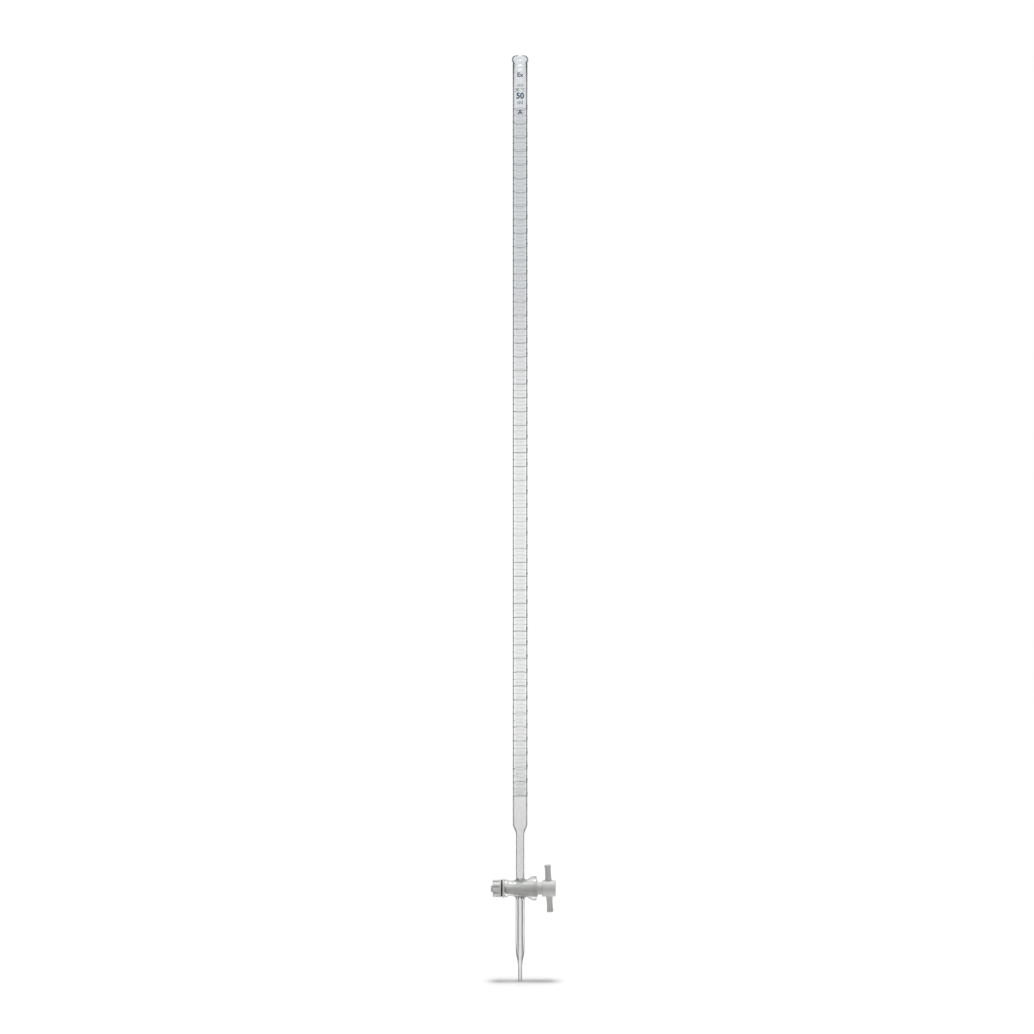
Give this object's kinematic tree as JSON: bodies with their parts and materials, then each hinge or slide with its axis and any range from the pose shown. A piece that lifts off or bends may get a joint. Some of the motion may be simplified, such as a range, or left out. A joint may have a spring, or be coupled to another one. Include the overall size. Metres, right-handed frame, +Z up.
{
  "type": "ptfe stopcock burette",
  "caption": "Graduated clear glass tube with a drawn jet and a white tapered stopcock, turned by a cross bar and held by seal rings and a fluted nut",
  "frame": {"origin": "centre of the outlet at the tip of the jet, on the tube's axis", "axes": "+Z up along the tube to its open rim, +X along the stopcock to the handle, front of the scale towards -Y"},
  "size_m": [0.0546, 0.0205, 0.7776],
  "materials": {
    "clear_glass": "fire-polished clear borosilicate glass",
    "blue_enamel": "fired dark blue enamel, slightly raised",
    "white_ptfe": "turned white PTFE, waxy and fine-ringed",
    "grained_plastic": "off-white moulded plastic with a coarse grain",
    "white_plastic": "smooth white moulded plastic",
    "black_rubber": "matt black rubber"
  },
  "bodies": {
    "glass": {"graduated_tube": "clear_glass", "whole_ml_rings": "blue_enamel", "half_ml_marks": "blue_enamel", "tenth_ml_marks": "blue_enamel", "inlet_arm": "clear_glass", "stopcock_barrel": "clear_glass", "outlet_jet": "clear_glass"},
    "plug": {"stopcock_plug": "white_ptfe", "handle_bar": "grained_plastic"},
    "seals": {"seal_washer": "white_ptfe", "rubber_ring": "black_rubber"},
    "nut": {"clamp_nut": "white_plastic"}
  },
  "joints": [
    {"name": "plug_turn", "type": "hinge", "parent": "glass", "child": "plug", "pos_m": [0, 0, 0.078], "axis": [1, 0, 0], "continuous": true},
    {"name": "seal_slide", "type": "slide", "parent": "plug", "child": "seals", "axis": [-1, 0, 0], "range_m": [0, 0.00626]},
    {"name": "nut_turn", "type": "hinge", "parent": "seals", "child": "nut", "pos_m": [0, 0, 0.078], "axis": [-1, 0, 0], "range_deg": [0, 1800]}
  ],
  "couplings": [
    {"joint": "seal_slide", "follows": "nut_turn", "m_per_rad": 0.00019894}
  ]
}
